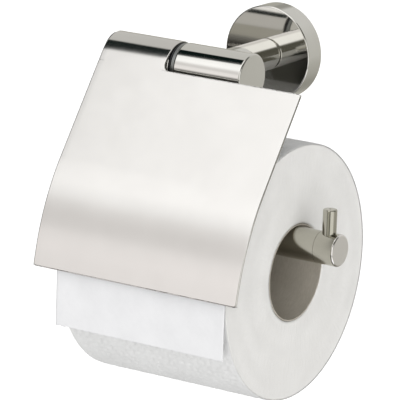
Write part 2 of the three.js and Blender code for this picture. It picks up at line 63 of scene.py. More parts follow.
MM = 0.001
TAU = 2 * math.pi
joints = {joint["name"]: joint for joint in frame["joints"]}
hinge = Vector(joints["cover_hinge"]["pos_m"])
hinge_line = (0, hinge.y, hinge.z)
roll_centre = Vector(joints["roll_spin"]["pos_m"])
nodes = frame["nodes"]

# Sizes that the frame's boxes don't give, as in the part's source. Holes and shanks are radii.
GAP = 0.3 * MM  # clearance between two pieces that seat on each other
PAST = 1 * MM  # how far a cutter runs past the face that it cuts
ROSETTE_FRONT_WALL = 3.0 * MM
BOLT_HOLE = 4.3 * MM
GRUB_HOLE_DEPTH = 6 * MM
ARM_NECK_DEPTH = 0.8 * MM  # shadow gap where the arm meets the rosette
ARM_NECK_LENGTH = 0.6 * MM
TUBE_WALL = 1.5 * MM
TUBE_END_WALL = 2 * MM
PLUG_IN_TUBE = 1.8 * MM  # from a tube's outside to the plug inside it
PLUG_FLANGE = 1.8 * MM
FOOT_FLANGE = 2 * MM
SCREW_SHANK = 2.0 * MM
SCREW_HOLE = 2.3 * MM
SCREW_SINK = 5.0 * MM
SCREW_HEAD_DEPTH = 1.7 * MM
SCREW_SOCKET = 2.5 * MM  # across flats
TENON_HALF = 3.3 * MM
TENON_LENGTH = 1.2 * MM
PIN_MARK = 0.7 * MM  # centre mark on the pin's top
PIN_MARK_DEPTH = 0.6 * MM
CORE_WALL = 0.7 * MM


# ---------------------------------------------------------------- mesh helpers
def new_object(name, bm, smooth_angle=35.0, material=None):
    """Object from a bmesh, with its faces pointing out and its edges sharp past an angle."""
    bmesh.ops.recalc_face_normals(bm, faces=bm.faces)
    mesh = bpy.data.meshes.new(name)
    bm.to_mesh(mesh)
    bm.free()
    obj = bpy.data.objects.new(name, mesh)
    bpy.context.scene.collection.objects.link(obj)
    finish_shading(obj, smooth_angle)
    if material:
        mesh.materials.append(material)
    return obj


def finish_shading(obj, smooth_angle):
    obj.data.shade_smooth()
    obj.data.set_sharp_from_angle(angle=math.radians(smooth_angle))


def bake_modifiers(obj, smooth_angle=35.0):
    """Replaces the object's mesh by the one its modifiers make."""
    bpy.context.view_layer.update()
    graph = bpy.context.evaluated_depsgraph_get()
    mesh = bpy.data.meshes.new_from_object(obj.evaluated_get(graph))
    old = obj.data
    obj.modifiers.clear()
    obj.data = mesh
    bpy.data.meshes.remove(old)
    finish_shading(obj, smooth_angle)


def cut(obj, cutter):
    """Cuts another object out of this one and deletes it."""
    obj.modifiers.clear()
    cutter.modifiers.clear()
    modifier = obj.modifiers.new("cut", "BOOLEAN")
    modifier.operation = "DIFFERENCE"
    modifier.solver = "EXACT"
    modifier.object = cutter
    bake_modifiers(obj)
    bpy.data.objects.remove(cutter)


def bevel(obj, width, segments, angle):
    """Rounds the edges sharper than an angle in degrees."""
    modifier = obj.modifiers.new("bevel", "BEVEL")
    modifier.width = width
    modifier.segments = segments
    modifier.limit_method = "ANGLE"
    modifier.angle_limit = math.radians(angle)
    modifier.use_clamp_overlap = False
    bake_modifiers(obj)


def flat_faces_first(obj):
    """Normals that leave large faces flat between their rounded edges."""
    modifier = obj.modifiers.new("normals", "WEIGHTED_NORMAL")
    modifier.weight = 90
    modifier.keep_sharp = True


def rounded(profile, radius, steps, skip_ends=True):
    """The polyline with its corners turned into arcs; a third value sets a corner's own radius."""
    out = []
    count = len(profile)
    for i, point in enumerate(profile):
        corner = Vector(point[:2])
        size = point[2] if len(point) > 2 else radius
        end = i in (0, count - 1)
        if (skip_ends and end) or size <= 0:
            out.append(tuple(corner))
            continue
        before = Vector(profile[(i - 1) % count][:2]) - corner
        after = Vector(profile[(i + 1) % count][:2]) - corner
        angle = before.angle(after)
        reach = min(size / math.tan(angle / 2), 0.48 * before.length, 0.48 * after.length)
        real = reach * math.tan(angle / 2)
        first = corner + before.normalized() * reach
        last = corner + after.normalized() * reach
        inward = (before.normalized() + after.normalized()).normalized()
        middle = corner + inward * real / math.sin(angle / 2)
        turn = math.pi - angle
        for k in range(steps + 1):
            part = k / steps
            ray = (first - middle) * math.sin((1 - part) * turn) + (last - middle) * math.sin(part * turn)
            out.append(tuple(middle + ray / math.sin(turn)))
    return out


AXES = {
    "X": lambda r, t, h: (h, r * math.cos(t), r * math.sin(t)),
    "Y": lambda r, t, h: (r * math.sin(t), h, r * math.cos(t)),
    "Z": lambda r, t, h: (r * math.cos(t), r * math.sin(t), h),
}


def lathe(name, profile, axis, centre, material=None, segments=128, ring=False, smooth_angle=35.0):
    """Turned solid: the profile lists (radius, height along the axis), closed on itself for a ring."""
    bm = bmesh.new()
    place = AXES[axis]
    centre = Vector(centre)
    rows = []
    for radius, height in profile:
        if radius < 1e-9:
            rows.append([bm.verts.new(centre + Vector(place(0, 0, height)))])
        else:
            rows.append([
                bm.verts.new(centre + Vector(place(radius, TAU * k / segments, height)))
                for k in range(segments)
            ])
    pairs = list(zip(rows, rows[1:]))
    if ring:
        pairs.append((rows[-1], rows[0]))
    for low, high in pairs:
        for k in range(segments):
            n = (k + 1) % segments
            if len(low) == 1 and len(high) == 1:
                continue
            if len(low) == 1:
                bm.faces.new((low[0], high[k], high[n]))
            elif len(high) == 1:
                bm.faces.new((low[k], low[n], high[0]))
            else:
                bm.faces.new((low[k], low[n], high[n], high[k]))
    obj = new_object(name, bm, smooth_angle, material)
    flat_faces_first(obj)
    return obj


def prism(name, outline, axis, low, high):
    """Straight prism of a closed outline of (u, v), along an axis: a cutter or a flat strip."""
    bm = bmesh.new()
    place = {
        "X": lambda u, v, h: (h, u, v),
        "Y": lambda u, v, h: (u, h, v),
        "Z": lambda u, v, h: (u, v, h),
    }[axis]
    ends = [[bm.verts.new(place(u, v, h)) for u, v in outline] for h in (low, high)]
    bm.faces.new(ends[0])
    bm.faces.new(ends[1][::-1])
    count = len(outline)
    for i in range(count):
        n = (i + 1) % count
        bm.faces.new((ends[0][i], ends[0][n], ends[1][n], ends[1][i]))
    return new_object(name, bm)


def polygon(centre, radius, count):
    """Corners of a regular polygon."""
    return [
        (centre[0] + radius * math.cos(TAU * k / count), centre[1] + radius * math.sin(TAU * k / count))
        for k in range(count)
    ]


def dress(obj, node, body):
    """The piece stands for a CAD node, whose mesh it hides, and rides on its body."""
    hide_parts(node)
    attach(obj, body)
    return obj


# ---------------------------------------------------------------- materials
def new_material(name):
    material = bpy.data.materials.new(name)
    material.use_nodes = True
    tree = material.node_tree
    shader = tree.nodes["Principled BSDF"]
    return material, tree, shader


def coordinates(tree, scale=(1, 1, 1)):
    """Object coordinates in metres, stretched by a scale."""
    place = tree.nodes.new("ShaderNodeTexCoord")
    mapping = tree.nodes.new("ShaderNodeMapping")
    mapping.inputs["Scale"].default_value = scale
    tree.links.new(place.outputs["Object"], mapping.inputs["Vector"])
    return mapping.outputs["Vector"]


def noise_of(tree, vector, scale, detail, roughness=0.5):
    """Noise from 0 to 1; scale is in spots per metre."""
    item = tree.nodes.new("ShaderNodeTexNoise")
    item.inputs["Scale"].default_value = scale
    item.inputs["Detail"].default_value = detail
    item.inputs["Roughness"].default_value = roughness
    tree.links.new(vector, item.inputs["Vector"])
    return item.outputs["Fac"]


def ramp(tree, factor, stops):
    """Colour ramp; stops lists (position, (r, g, b) or grey)."""
    item = tree.nodes.new("ShaderNodeValToRGB")
    elements = item.color_ramp.elements
    while len(elements) < len(stops):
        elements.new(0.5)
    for element, (position, colour) in zip(elements, stops):
        element.position = position
        if not isinstance(colour, (tuple, list)):
            colour = (colour,) * 3
        element.color = (*colour, 1)
    tree.links.new(factor, item.inputs["Fac"])
    return item.outputs["Color"]


def spread(tree, factor, low, high):
    """A 0 to 1 value mapped to low to high."""
    item = tree.nodes.new("ShaderNodeMapRange")
    item.inputs["To Min"].default_value = low
    item.inputs["To Max"].default_value = high
    tree.links.new(factor, item.inputs["Value"])
    return item.outputs["Result"]


def bump(tree, shader, height, strength, distance, before=None):
    """Fine relief on a shader, distance in metres, over an earlier relief if there is one."""
    item = tree.nodes.new("ShaderNodeBump")
    item.inputs["Strength"].default_value = strength
    item.inputs["Distance"].default_value = distance
    tree.links.new(height, item.inputs["Height"])
    if before:
        tree.links.new(before, item.inputs["Normal"])
    tree.links.new(item.outputs["Normal"], shader.inputs["Normal"])
    return item.outputs["Normal"]


def metal(name, dark, light, rough_low, rough_high,
          grain=(1, 1, 1), grain_scale=900, grain_depth=0.000002):
    """Polished or turned steel: faint cloudy tone, uneven polish and a fine grain along one way."""
    material, tree, shader = new_material(name)
    shader.inputs["Metallic"].default_value = 1.0
    plain = coordinates(tree)
    cloud = noise_of(tree, plain, 45, 4)
    tree.links.new(ramp(tree, cloud, [(0.3, dark), (0.7, light)]), shader.inputs["Base Color"])
    smear = noise_of(tree, plain, 160, 5, 0.6)
    tree.links.new(spread(tree, smear, rough_low, rough_high), shader.inputs["Roughness"])
    lines = noise_of(tree, coordinates(tree, grain), grain_scale, 2)
    bump(tree, shader, lines, 0.25, grain_depth)
    return material


polished = metal("polished_steel", (0.775, 0.765, 0.735), (0.805, 0.795, 0.765), 0.035, 0.07)
rod_steel = metal("spindle_steel", (0.50, 0.485, 0.42), (0.54, 0.525, 0.46), 0.10, 0.17)
# painted highlight: the spindle tip's face that looks to the right gets a much brighter steel than its
# side
end_face_highlight_steel = metal("spindle_end_face_painted_highlight", (0.92, 0.895, 0.885), (0.95, 0.925, 0.915), 0.06, 0.10)
sheet_steel = metal("cover_sheet_steel", (0.775, 0.76, 0.742), (0.81, 0.795, 0.777), 0.09, 0.13,
                    grain=(0.04, 1, 1), grain_scale=1400)
# painted shade: the cover's inside and its edges beside the ring get a far darker, rougher steel than its
# outside, to darken the hollow under the cover
cover_inside_shade = metal("cover_inside_painted_shade_steel", (0.34, 0.34, 0.32), (0.42, 0.42, 0.40), 0.25, 0.36,
                   grain=(0.04, 1, 1), grain_scale=1400)
turned = metal("turned_steel", (0.52, 0.51, 0.49), (0.62, 0.61, 0.59), 0.22, 0.34,
               grain_scale=2200, grain_depth=0.000006)
ring_steel = metal("hinge_ring_steel", (0.30, 0.31, 0.305), (0.36, 0.37, 0.365), 0.36, 0.46,
                   grain_scale=2200, grain_depth=0.000006)
plate = metal("wall_plate_steel", (0.42, 0.42, 0.41), (0.52, 0.52, 0.50), 0.32, 0.48,
              grain_scale=1500, grain_depth=0.00001)


def nylon_material():
    """Black moulded nylon, matt and slightly uneven."""
    material, tree, shader = new_material("black_nylon")
    plain = coordinates(tree)
    cloud = noise_of(tree, plain, 300, 4)
    tree.links.new(ramp(tree, cloud, [(0.3, (0.018, 0.018, 0.02)), (0.75, (0.034, 0.034, 0.036))]),
                   shader.inputs["Base Color"])
    tree.links.new(spread(tree, cloud, 0.42, 0.6), shader.inputs["Roughness"])
    bump(tree, shader, noise_of(tree, plain, 2500, 3), 0.3, 0.00003)
    return material


def tissue_material(name, low, high, depth):
    """Soft creped paper: matt, faintly mottled, with short fibres and fine creases across the web."""
    material, tree, shader = new_material(name)
    plain = coordinates(tree)
    cloud = noise_of(tree, plain, 60, 5, 0.6)
    tree.links.new(ramp(tree, cloud, [(0.3, low), (0.7, high)]), shader.inputs["Base Color"])
    tree.links.new(spread(tree, cloud, 0.86, 0.97), shader.inputs["Roughness"])
    shader.inputs["Specular IOR Level"].default_value = 0.2
    shader.inputs["Sheen Weight"].default_value = 0.15
    shader.inputs["Sheen Roughness"].default_value = 0.6
    crepe = noise_of(tree, coordinates(tree, (0.25, 1, 1)), 2600, 3, 0.6)
    first = bump(tree, shader, crepe, 0.5, depth)
    bump(tree, shader, noise_of(tree, plain, 5200, 2, 0.7), 0.4, depth * 0.6, first)
    return material


def board_material():
    """Grey-brown core board with long fibres wound round it."""
    material, tree, shader = new_material("core_board")
    plain = coordinates(tree)
    fibre = noise_of(tree, coordinates(tree, (1, 0.22, 0.22)), 1800, 4, 0.65)
    cloud = noise_of(tree, plain, 90, 4)
    mix = tree.nodes.new("ShaderNodeMath")
    mix.operation = "MULTIPLY_ADD"
    mix.inputs[1].default_value = 0.55
    tree.links.new(fibre, mix.inputs[0])
    tree.links.new(spread(tree, cloud, 0.0, 0.45), mix.inputs[2])
    tree.links.new(
        ramp(tree, mix.outputs["Value"], [(0.25, (0.36, 0.325, 0.27)), (0.75, (0.52, 0.485, 0.42))]),
        shader.inputs["Base Color"])
    shader.inputs["Roughness"].default_value = 0.88
    bump(tree, shader, fibre, 0.5, 0.00006)
    return material


nylon = nylon_material()
tissue = tissue_material("roll_tissue", (0.76, 0.76, 0.755), (0.82, 0.82, 0.815), 0.00005)
tissue_side = tissue_material("roll_side_tissue", (0.80, 0.79, 0.765), (0.85, 0.84, 0.815), 0.00008)
loose_tissue = tissue_material("loose_tissue", (0.79, 0.79, 0.80), (0.85, 0.85, 0.86), 0.00004)
board = board_material()


# ---------------------------------------------------------------- rosette, arm and tube
def middle_of(name):
    """Middle of a node's box."""
    low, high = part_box(name)
    return (low + high) / 2


def radius_of(name, along):
    """Half the size of a node's box along an axis."""
    low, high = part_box(name)
    return (getattr(high, along) - getattr(low, along)) / 2


def make_rosette():
    """Round cup with a hole for the arm's bolt and one in its underside for the grub screw."""
    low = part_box("rosette")[0]
    radius = radius_of("rosette", "x")
    front = low.y
    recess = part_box("wall_plate")[1].x + GAP
    floor = front + ROSETTE_FRONT_WALL
    profile = rounded([
        (BOLT_HOLE, front), (radius, front, 0.7 * MM), (radius, 0, 0.15 * MM),
        (recess, 0, 0.1 * MM), (recess, floor, 0.3 * MM), (BOLT_HOLE, floor),
    ], 0.2 * MM, 5)
    obj = lathe("rosette_cup", profile, "Y", (0, 0, 0), segments=192, ring=True)
    grub = middle_of("rosette_grub_screw")
    hole = polygon((grub.x, grub.y), radius_of("rosette_grub_screw", "x") + GAP, 40)
    cut(obj, prism("grub_hole", hole, "Z", low.z - PAST, low.z + GRUB_HOLE_DEPTH))
    flat_faces_first(obj)
    obj.data.materials.append(polished)
    return dress(obj, "rosette", "holder")


def make_arm():
    """Round bar with a fine neck at the rosette, coped to the tube."""
    radius = radius_of("arm", "x")
    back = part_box("arm")[1].y
    cope_radius = radius_of("top_tube", "z") + 0.02 * MM
    cope_half = 20 * MM
    neck = radius - ARM_NECK_DEPTH
    shoulder = back - ARM_NECK_LENGTH
    profile = rounded([
        (0, back), (neck, back, 0.1 * MM), (neck, shoulder, 0),
        (radius, shoulder, 0.45 * MM), (radius, hinge.y), (0, hinge.y),
    ], 0.2 * MM, 5)
    obj = lathe("arm_bar", profile, "Y", (0, 0, 0), segments=160)
    cope = [(0, -cope_half), (cope_radius, -cope_half), (cope_radius, cope_half), (0, cope_half)]
    cut(obj, lathe("cope", cope, "X", hinge_line, segments=192))
    flat_faces_first(obj)
    obj.data.materials.append(polished)
    return dress(obj, "arm", "holder")


def make_top_tube():
    low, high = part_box("top_tube")
    radius = radius_of("top_tube", "z")
    bore = radius - TUBE_WALL
    end = high.x - TUBE_END_WALL
    profile = rounded([
        (0, high.x), (radius, high.x, 0.95 * MM), (radius, low.x, 0.5 * MM),
        (bore, low.x, 0.1 * MM), (bore, end), (0, end),
    ], 0.1 * MM, 6)
    obj = lathe("top_tube_shell", profile, "X", hinge_line, polished, segments=192)
    return dress(obj, "top_tube", "holder")


def make_axle_plug():
    """Plug in the tube's left end, with the flange that shows as a ring."""
    low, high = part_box("axle_plug")
    flange = radius_of("axle_plug", "z")
    flange_right = low.x + PLUG_FLANGE
    body = radius_of("top_tube", "z") - PLUG_IN_TUBE
    bore = radius_of("hinge_axle", "z") + GAP
    bore_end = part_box("hinge_axle")[1].x + GAP
    profile = rounded([
        (0, bore_end), (bore, bore_end), (bore, low.x, 0.1 * MM),
        (flange, low.x, 0.25 * MM), (flange, flange_right, 0.25 * MM), (body, flange_right),
        (body, high.x, 0.3 * MM), (0, high.x),
    ], 0.1 * MM, 4)
    obj = lathe("axle_plug_ring", profile, "X", hinge_line, ring_steel, segments=160)
    return dress(obj, "axle_plug", "holder")


def make_washer(name):
    low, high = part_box(name)
    radius = radius_of(name, "z")
    bore = radius_of("hinge_axle", "z") + GAP
    corners = [(bore, low.x), (radius, low.x), (radius, high.x), (bore, high.x)]
    profile = rounded(corners, 0.12 * MM, 3, skip_ends=False)
    obj = lathe(name + "_ring", profile, "X", hinge_line, nylon, segments=128, ring=True)
    return dress(obj, name, "holder")


# ---------------------------------------------------------------- leg and spindle
def make_leg():
    """Flat strip with round ends, the lower wider, each with a countersunk hole and a tenon pocket."""
    low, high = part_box("support_leg")
    bottom = (high.y - low.y) / 2
    spindle_z = low.z + bottom
    top = high.z - hinge.z
    flare = math.asin((bottom - top) / (hinge.z - spindle_z))
    outline = []
    steps = 40
    for k in range(steps + 1):
        a = -flare + (math.pi + 2 * flare) * k / steps
        outline.append((hinge.y + top * math.cos(a), hinge.z + top * math.sin(a)))
    for k in range(steps + 1):
        a = math.pi + flare + (math.pi - 2 * flare) * k / steps
        outline.append((hinge.y + bottom * math.cos(a), spindle_z + bottom * math.sin(a)))
    obj = prism("support_leg_strip", outline, "X", low.x, high.x)
    bevel(obj, 0.35 * MM, 3, 60)
    left, right = low.x - PAST, high.x + PAST
    sink = [
        (0, left), (SCREW_SINK, left), (SCREW_HOLE, low.x + SCREW_HEAD_DEPTH),
        (SCREW_HOLE, right), (0, right),
    ]
    for z in (hinge.z, spindle_z):
        cut(obj, lathe("sink", sink, "X", (0, hinge.y, z), segments=64))
        near, far = hinge.y - TENON_HALF, hinge.y + TENON_HALF
        under, over = z - TENON_HALF, z + TENON_HALF
        pocket = [(near, under), (far, under), (far, over), (near, over)]
        cut(obj, prism("pocket", pocket, "X", high.x - TENON_LENGTH, right))
    flat_faces_first(obj)
    obj.data.materials.append(polished)
    return dress(obj, "support_leg", "holder")


def make_leg_screw(name):
    """Countersunk screw with a hexagon socket."""
    low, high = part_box(name)
    centre = middle_of(name)
    head = radius_of(name, "z")
    profile = rounded([
        (0, low.x), (head, low.x, 0.15 * MM), (SCREW_SHANK, low.x + head - SCREW_SHANK),
        (SCREW_SHANK, high.x, 0.3 * MM), (0, high.x),
    ], 0.05 * MM, 3)
    obj = lathe(name + "_head", profile, "X", (0, centre.y, centre.z), segments=64)
    hexagon = polygon((centre.y, centre.z), SCREW_SOCKET / math.sqrt(3), 6)
    cut(obj, prism("socket", hexagon, "X", low.x - PAST, low.x + SCREW_HEAD_DEPTH))
    flat_faces_first(obj)
    obj.data.materials.append(turned)
    return dress(obj, name, "holder")


def spindle_axis():
    """A point of the spindle's axis, and its radius."""
    centre = middle_of("spindle_tube")
    return (0, centre.y, centre.z), radius_of("spindle_tube", "z")


def make_spindle_tube():
    low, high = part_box("spindle_tube")
    centre, radius = spindle_axis()
    bore = radius - TUBE_WALL
    corners = [(bore, low.x), (radius, low.x), (radius, high.x), (bore, high.x)]
    profile = rounded(corners, 0.05 * MM, 3, skip_ends=False)
    obj = lathe("spindle_rod", profile, "X", centre, rod_steel, segments=160, ring=True)
    return dress(obj, "spindle_tube", "holder")


def make_spindle_foot():
    centre, radius = spindle_axis()
    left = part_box("hinge_washer_left")[0].x
    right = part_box("spindle_foot")[1].x
    flange_right = left + FOOT_FLANGE
    plug = radius - PLUG_IN_TUBE
    tap_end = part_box("leg_screw_lower")[1].x + GAP
    profile = rounded([
        (SCREW_HOLE, left), (radius, left, 0.25 * MM), (radius, flange_right, 0.25 * MM),
        (plug, flange_right), (plug, right, 0.4 * MM), (0, right),
        (0, tap_end), (SCREW_HOLE, tap_end),
    ], 0.05 * MM, 3)
    profile = [p for i, p in enumerate(profile) if i == 0 or Vector(p) != Vector(profile[i - 1])]
    obj = lathe("spindle_foot_flange", profile, "X", centre, polished, segments=96, ring=True)
    return dress(obj, "spindle_foot", "holder")


def make_spindle_tip():
    """End piece with a spigot in the tube; its face takes a much brighter steel than its side: a painted
    highlight.
    """
    low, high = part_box("spindle_tip")
    centre, radius = spindle_axis()
    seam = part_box("spindle_tube")[1].x + 0.1 * MM
    plug = radius - PLUG_IN_TUBE
    profile = rounded([
        (0, low.x), (plug, low.x, 0.4 * MM), (plug, seam), (radius, seam, 0.05 * MM),
        (radius, high.x, 0.95 * MM), (0, high.x),
    ], 0.05 * MM, 5)
    obj = lathe("spindle_end_piece", profile, "X", centre, segments=160)
    pin_low, pin_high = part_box("stop_pin")
    pin = middle_of("stop_pin")
    seat = polygon((pin.x, pin.y), radius_of("stop_pin", "x") + 0.08 * MM, 64)
    cut(obj, prism("seat", seat, "Z", pin_low.z - GAP, pin_high.z))
    flat_faces_first(obj)
    obj.data.materials.append(rod_steel)
    obj.data.materials.append(end_face_highlight_steel)
    # Faces turned to the right take the brighter steel: a painted highlight on the end face.
    for face in obj.data.polygons:
        if face.normal.x > 0.2:
            face.material_index = 1
    return dress(obj, "spindle_tip", "holder")


def make_stop_pin():
    low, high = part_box("stop_pin")
    centre = middle_of("stop_pin")
    radius = radius_of("stop_pin", "x")
    profile = rounded([
        (0, low.z), (radius, low.z, 0.3 * MM), (radius, high.z, 0.75 * MM),
        (PIN_MARK, high.z, 0.1 * MM), (0, high.z - PIN_MARK_DEPTH),
    ], 0.1 * MM, 5)
    obj = lathe("stop_pin_post", profile, "Z", (centre.x, centre.y, 0), rod_steel, segments=96)
    return dress(obj, "stop_pin", "holder")


# ---------------------------------------------------------------- cover flap
SHEET = 1.2 * MM
RUN_OFF = 18.3 * MM  # wider curve on which the sheet leaves the barrel
RUN_OFF_TURN = math.radians(37.8)
PANEL = 62.0 * MM  # from the hinge axis along the flat panel to the bend
BEND = 47.6 * MM
BEND_TURN = math.radians(23.0)
TAIL = 8.0 * MM
NOTCH = 8.9 * MM  # from the hinge axis down to the notch edge: 0.3 mm lower than in the CAD
NOTCH_ROUND = 3.5 * MM
TOP_ROUND = 1.6 * MM
BOTTOM_ROUND = 1.7 * MM
SEAM_GAP = 0.12 * MM  # between the rolled barrel's free edge and the panel
COVER_ON_ROLL = 0.4 * MM  # air between the closed cover and the roll
COVER_EDGE = 0.57 * MM  # rounding of the sheet's cut edges
BEND_RADIUS = BEND / BEND_TURN
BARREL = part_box("cover_flap")[1].z - hinge.z
OFF_CENTRE = RUN_OFF - BARREL  # between the barrel's centre and the wider curve's
PANEL_OUT = RUN_OFF - OFF_CENTRE * math.cos(RUN_OFF_TURN)  # from the axis out to the flat panel
FLAT_START = OFF_CENTRE * math.sin(RUN_OFF_TURN)
RUN_OFF_START = FLAT_START - RUN_OFF * RUN_OFF_TURN
COVER_LENGTH = PANEL + BEND + TAIL


def cover_lean():
    """Angle from straight down at which the closed cover's bend lies on the roll."""
    drop = hinge.z - roll_centre.z
    reach = math.hypot(BEND_RADIUS - PANEL_OUT, PANEL)
    apart = BEND_RADIUS - SHEET - radius_of("paper_roll", "z") - COVER_ON_ROLL
    between = math.acos((drop ** 2 + reach ** 2 - apart ** 2) / (2 * drop * reach))
    return math.atan2(BEND_RADIUS - PANEL_OUT, PANEL) - between


LEAN = cover_lean()
DOWN = Vector((-math.sin(LEAN), -math.cos(LEAN)))
OUT = Vector((-math.cos(LEAN), math.sin(LEAN)))


def arc_point(centre, angle, radius):
    """(y, z) on an arc of the section, at an angle from the panel's outward direction towards its foot."""
    return centre + (OUT * math.cos(angle) + DOWN * math.sin(angle)) * radius


def cover_point(s, depth):
    """(y, z) at path length s down the outer face, 0 beside the axis, and a depth into the sheet."""
    axis = Vector((hinge.y, hinge.z))
    if s < RUN_OFF_START:
        return arc_point(axis, (s - RUN_OFF_START) / BARREL - RUN_OFF_TURN, BARREL - depth)
    if s < FLAT_START:
        centre = axis + OUT * (PANEL_OUT - RUN_OFF) + DOWN * FLAT_START
        return arc_point(centre, (s - FLAT_START) / RUN_OFF, RUN_OFF - depth)
    if s <= PANEL:
        return axis + OUT * (PANEL_OUT - depth) + DOWN * s
    centre = axis + OUT * (PANEL_OUT - BEND_RADIUS) + DOWN * PANEL
    if s <= PANEL + BEND:
        return arc_point(centre, (s - PANEL) / BEND_RADIUS, BEND_RADIUS - depth)
    along = DOWN * math.cos(BEND_TURN) - OUT * math.sin(BEND_TURN)
    return arc_point(centre, BEND_TURN, BEND_RADIUS - depth) + along * (s - PANEL - BEND)


def cover_rows():
    """Path lengths of the rows: even on the curves, closer where a corner is rounded."""
    # The rolled edge stops just before the inner face of the sheet that leaves the barrel.
    meet = RUN_OFF - SHEET - SEAM_GAP
    closing = math.acos((meet ** 2 - OFF_CENTRE ** 2 - BARREL ** 2) / (2 * OFF_CENTRE * BARREL))
    wrap = TAU - closing
    quarter = math.pi / 2
    rows = [RUN_OFF_START - wrap * BARREL * (1 - k / 110) for k in range(111)]
    rows += [RUN_OFF_START + (FLAT_START - RUN_OFF_START) * k / 18 for k in range(1, 19)]
    rows += [NOTCH - NOTCH_ROUND + NOTCH_ROUND * math.sin(quarter * k / 6) for k in range(7)]
    rows += [NOTCH + TOP_ROUND * (1 - math.cos(quarter * k / 4)) for k in range(1, 5)]
    rows += [NOTCH + TOP_ROUND + (PANEL - NOTCH - TOP_ROUND) * k / 12 for k in range(1, 13)]
    rows += [PANEL + BEND * k / 72 for k in range(1, 73)]
    rows += [PANEL + BEND + (TAIL - BOTTOM_ROUND) * k / 3 for k in range(1, 4)]
    rows += [COVER_LENGTH - BOTTOM_ROUND * (1 - math.sin(quarter * k / 8)) for k in range(1, 9)]
    return sorted(set(rows))


def make_cover():
    """Sheet swept down its section: a narrow part from the barrel, and the full width below the notch."""
    low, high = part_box("cover_flap")
    barrel_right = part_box("hinge_bush_right")[1].x + GAP
    inner_x = barrel_right + NOTCH_ROUND
    left_columns, right_columns = 10, 24
    rows = cover_rows()

    def corner(radius, into):
        """How far a round corner's edge lies in, at a distance into the corner."""
        return radius - math.sqrt(max(radius ** 2 - max(0.0, into) ** 2, 0))

    def left_edge(s):
        return low.x + corner(BOTTOM_ROUND, s - (COVER_LENGTH - BOTTOM_ROUND))

    def right_edge(s):
        bottom = corner(BOTTOM_ROUND, s - (COVER_LENGTH - BOTTOM_ROUND))
        return high.x - max(bottom, corner(TOP_ROUND, NOTCH + TOP_ROUND - s))

    def narrow_edge(s):
        return barrel_right + corner(NOTCH_ROUND, s - (NOTCH - NOTCH_ROUND))

    bm = bmesh.new()
    grid = {}
    narrow = [s < NOTCH - 1e-9 for s in rows]
    for i, s in enumerate(rows):
        left = left_edge(s)
        stop = narrow_edge(s) if narrow[i] else inner_x
        xs = [left + (stop - left) * k / left_columns for k in range(left_columns + 1)]
        if not narrow[i]:
            end = right_edge(s)
            xs += [inner_x + (end - inner_x) * k / right_columns for k in range(1, right_columns + 1)]
        for side, depth in ((0, 0.0), (1, SHEET)):
            point = cover_point(s, depth)
            for j, x in enumerate(xs):
                grid[side, i, j] = bm.verts.new((x, point.x, point.y))
    border = {}  # edges that one quad uses are the sheet's border
    for i in range(len(rows) - 1):
        for j in range(left_columns if narrow[i] else left_columns + right_columns):
            corners = [(i, j), (i, j + 1), (i + 1, j + 1), (i + 1, j)]
            for side in (0, 1):
                ring = corners if side == 0 else corners[::-1]
                face = bm.faces.new([grid[(side, *c)] for c in ring])
                # The inner face (side 1) takes the darker steel: painted shade under the cover.
                face.material_index = side
            for a, b in zip(corners, corners[1:] + corners[:1]):
                key = frozenset((a, b))
                border[key] = None if key in border else (a, b)
    for pair in border.values():
        if pair:
            a, b = pair
            face = bm.faces.new((grid[(0, *b)], grid[(0, *a)], grid[(1, *a)], grid[(1, *b)]))
            # Edges beside the ring take the darker steel too: painted shade.
            beside_ring = a[1] == b[1] == left_columns
            face.material_index = 1 if beside_ring else 0
    obj = new_object("cover_flap_sheet", bm)
    bevel(obj, COVER_EDGE, 5, 60)
    flat_faces_first(obj)
    obj.data.materials.append(sheet_steel)
    obj.data.materials.append(cover_inside_shade)
    return dress(obj, "cover_flap", "cover")


# ---------------------------------------------------------------- paper
EMBOSS_DEPTH = 0.80 * MM
EMBOSS_PITCH = 4.3 * MM
EMBOSS_BREAK = 7.5 * MM
EMBOSS_FADE = 2 * MM  # width over which the emboss dies out at the roll's edges
ROLL_EDGE = 0.4 * MM
ROLL_SUNK = 0.25 * MM  # how far the pressed surface lies inside the CAD's
SIDE_SUNK = 0.35 * MM  # and the side faces, at their rim
SIDE_FADE = 3 * MM
LAYER = 0.55 * MM  # pitch of the layers that the side faces show
DRIFT_SCALE, WEAR_SCALE = 240, 380  # of the noises that bend and thin the emboss, per metre
SEAM_GROOVE = 0.22 * MM  # depth of the spiral seam in the core
CORE_UNEVEN = 0.04 * MM


def around_roll(x, radius, turn):
    """Point on a circle about the roll's axis."""
    return x, roll_centre.y + radius * math.cos(turn), roll_centre.z + radius * math.sin(turn)


def emboss(u, v):
    """Height of the tissue's pressed pattern, 0 to 1: slanting waves broken into uneven bumps."""
    across = (v + u) / EMBOSS_PITCH
    drift = 3.0 * noise.noise(Vector((u * DRIFT_SCALE, v * DRIFT_SCALE, 9.1)))
    wave = 0.5 + 0.5 * math.sin(TAU * across + drift)
    breaks = 0.5 + 0.5 * math.sin(TAU * (u - v) / EMBOSS_BREAK + 2.6 * round(across) + drift)
    wear = 0.6 + 0.7 * noise.noise(Vector((u * WEAR_SCALE, v * WEAR_SCALE, 1.7)))
    return wave * (0.35 + 0.65 * breaks) * min(max(wear, 0.1), 1.0)


